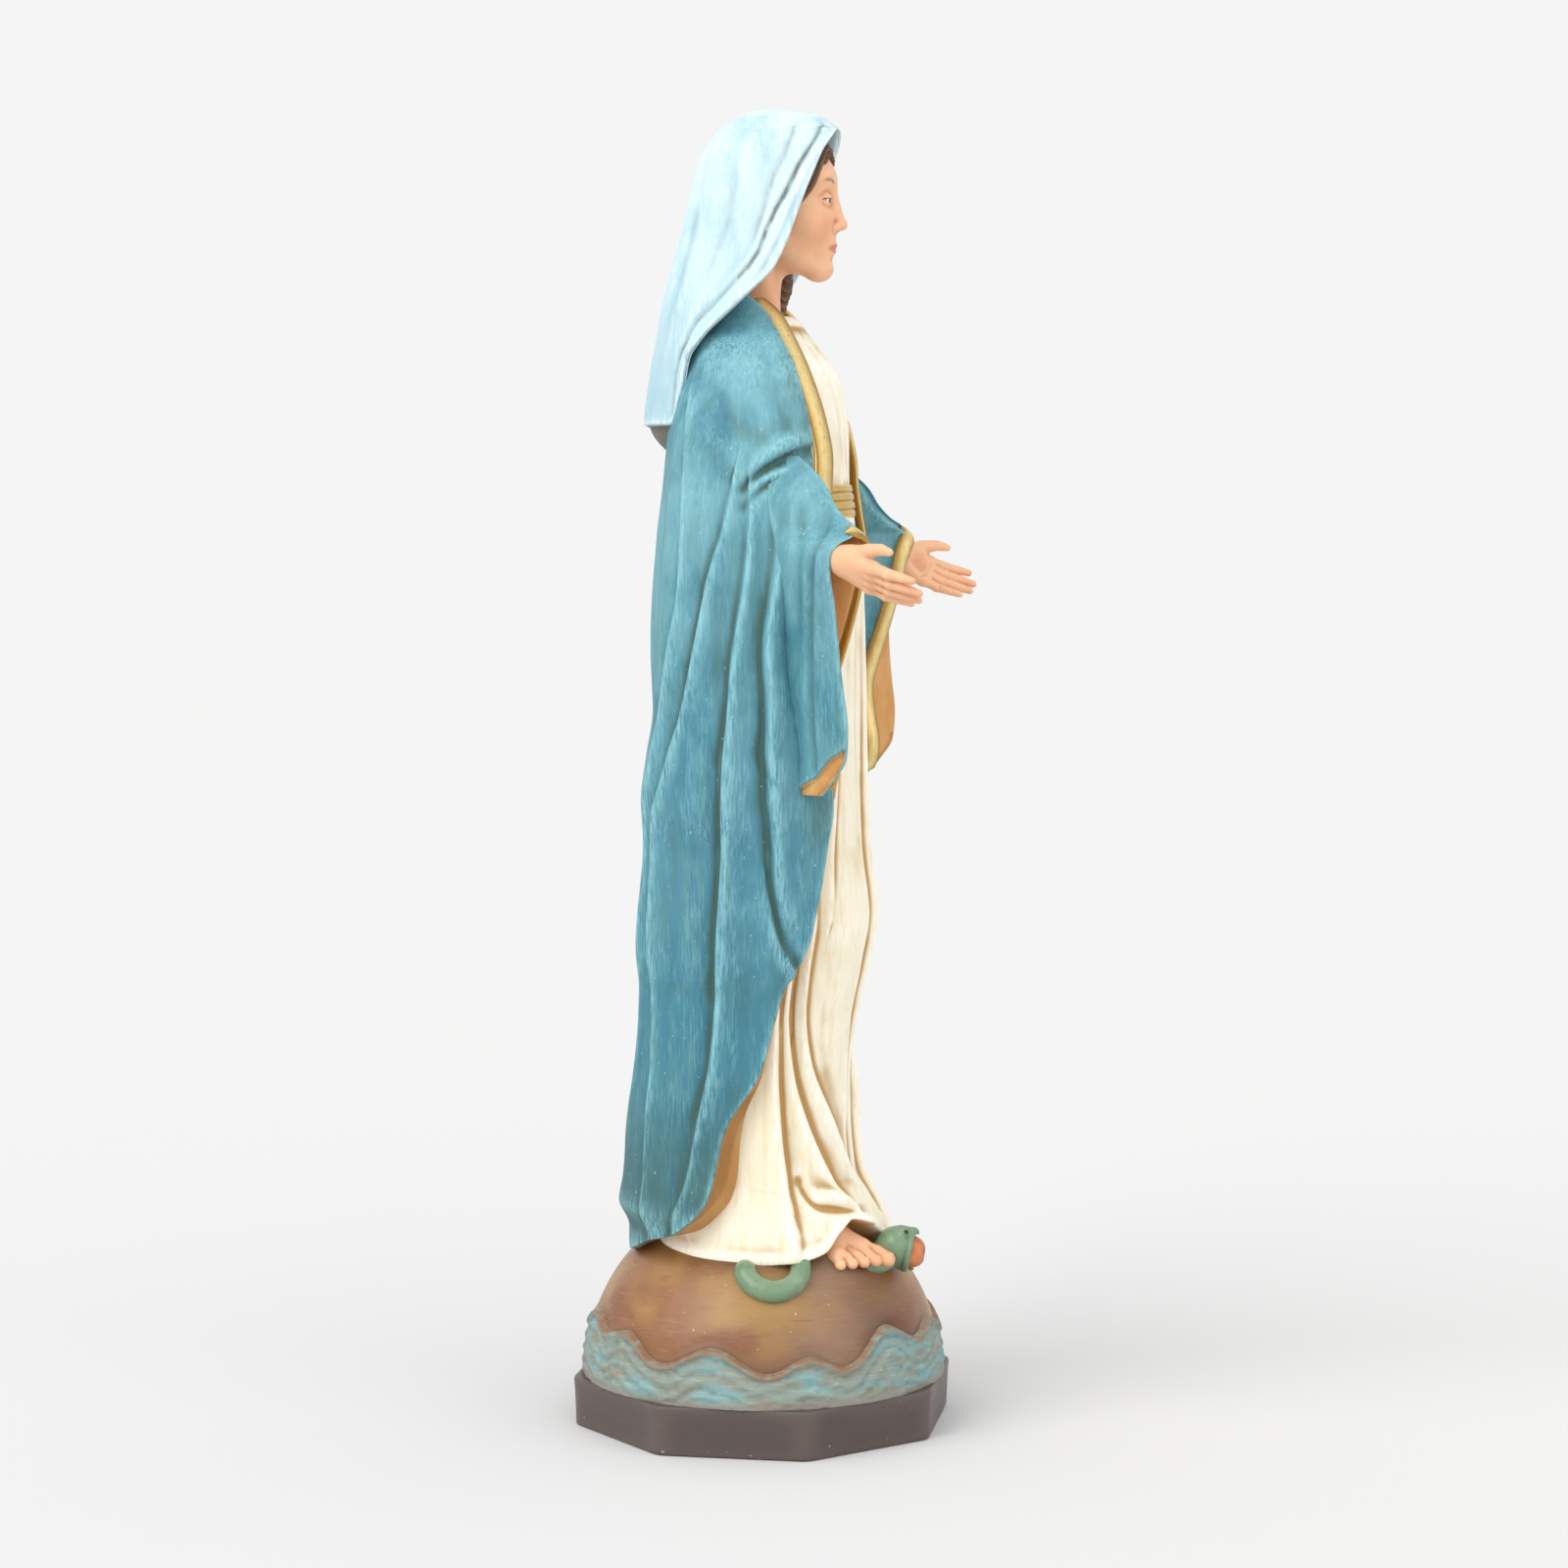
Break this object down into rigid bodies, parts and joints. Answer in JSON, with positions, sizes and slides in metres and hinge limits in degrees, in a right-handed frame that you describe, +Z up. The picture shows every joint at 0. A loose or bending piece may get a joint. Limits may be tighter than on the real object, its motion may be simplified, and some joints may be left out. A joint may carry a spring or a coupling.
{
  "type": "madonna statue",
  "caption": "Painted resin statue of a veiled lady with open hands, standing on a globe over a serpent, on an octagonal plinth.",
  "frame": {"origin": "middle of the plinth's underside, on the face of the felt pad", "axes": "+Z up the statue, -Y the way she faces, -X towards her right hand"},
  "size_m": [0.103, 0.085, 0.3],
  "materials": {
    "felt": "matte",
    "plinth_paint": "satin",
    "steel": "satin",
    "globe_paint": "satin",
    "cloud_paint": "matte",
    "snake_paint": "satin",
    "apple_paint": "satin",
    "gown_paint": "matte",
    "gilt": "satin",
    "mantle_paint": "matte",
    "skin_paint": "satin",
    "hair_paint": "matte",
    "veil_paint": "matte"
  },
  "bodies": {
    "root": {"felt_pad": "felt", "plinth": "plinth_paint", "base_screw": "steel", "base_washer": "steel", "globe": "globe_paint", "cloud_band": "cloud_paint", "snake_coil": "snake_paint", "snake_body": "snake_paint", "snake_head": "snake_paint", "apple": "apple_paint", "gown": "gown_paint", "sash": "gilt", "mantle": "mantle_paint", "right_sleeve": "mantle_paint", "left_sleeve": "mantle_paint", "right_border": "gilt", "left_border": "gilt", "right_sleeve_border": "gilt", "left_sleeve_border": "gilt", "head": "skin_paint", "hair": "hair_paint", "veil": "veil_paint", "right_hand": "skin_paint", "left_hand": "skin_paint", "right_hand_dowel": "steel", "left_hand_dowel": "steel", "right_foot": "skin_paint", "left_foot": "skin_paint"}
  },
  "joints": []
}
